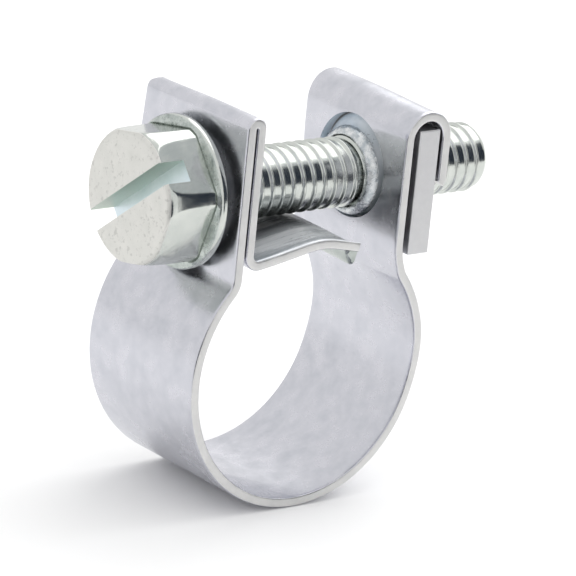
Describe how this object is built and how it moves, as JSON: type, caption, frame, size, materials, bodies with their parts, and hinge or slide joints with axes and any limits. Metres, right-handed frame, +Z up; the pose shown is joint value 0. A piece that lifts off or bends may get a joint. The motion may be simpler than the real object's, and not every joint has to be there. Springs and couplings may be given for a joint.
{
  "type": "hose clamp",
  "caption": "Small fuel-line hose clamp: a bent steel strip ring, a flanged slotted hex screw and a plate nut.",
  "frame": {"origin": "centre of the ring the strip makes, half way along its width", "axes": "+X along the screw towards its tail, +Y along the hose, +Z up from the ring to the screw"},
  "size_m": [0.023, 0.009, 0.0219],
  "materials": {
    "zinc_strip": "satin",
    "zinc_nut": "matte",
    "zinc_screw": "satin"
  },
  "bodies": {
    "head_side": {"band_head_ear": "zinc_strip"},
    "left_arc": {"band_left_arc": "zinc_strip"},
    "right_arc": {"band_right_arc": "zinc_strip"},
    "nut_side": {"band_nut_ear": "zinc_strip"},
    "nut": {"plate_nut": "zinc_nut"},
    "screw": {"screw": "zinc_screw"}
  },
  "joints": [
    {"name": "nut_travel", "type": "slide", "parent": "head_side", "child": "nut", "axis": [-1, 0, 0], "range_m": [-0.0028, 0.00224]},
    {"name": "screw_turn", "type": "hinge", "parent": "head_side", "child": "screw", "pos_m": [-0.0055, 0, 0.00933], "axis": [1, 0, 0], "range_deg": [-1445, 1157]},
    {"name": "neck_left", "type": "hinge", "parent": "head_side", "child": "left_arc", "pos_m": [-0.00522, 0, 0.00567], "axis": [0, 1, 0], "range_deg": [-6.3, 5.1]},
    {"name": "ring_bottom", "type": "hinge", "parent": "left_arc", "child": "right_arc", "pos_m": [0.00014, 0, -0.00737], "axis": [0, 1, 0], "range_deg": [-10.1, 12.5]},
    {"name": "neck_right", "type": "hinge", "parent": "right_arc", "child": "nut_side", "pos_m": [0.00549, 0, 0.00567], "axis": [0, 1, 0], "range_deg": [-6.3, 5.1]}
  ],
  "couplings": [
    {"joint": "screw_turn", "follows": "nut_travel", "rad_per_m": 8976},
    {"joint": "neck_left", "follows": "nut_travel", "rad_per_m": 38.57},
    {"joint": "ring_bottom", "follows": "nut_travel", "rad_per_m": -77.14},
    {"joint": "neck_right", "follows": "nut_travel", "rad_per_m": 38.57}
  ]
}
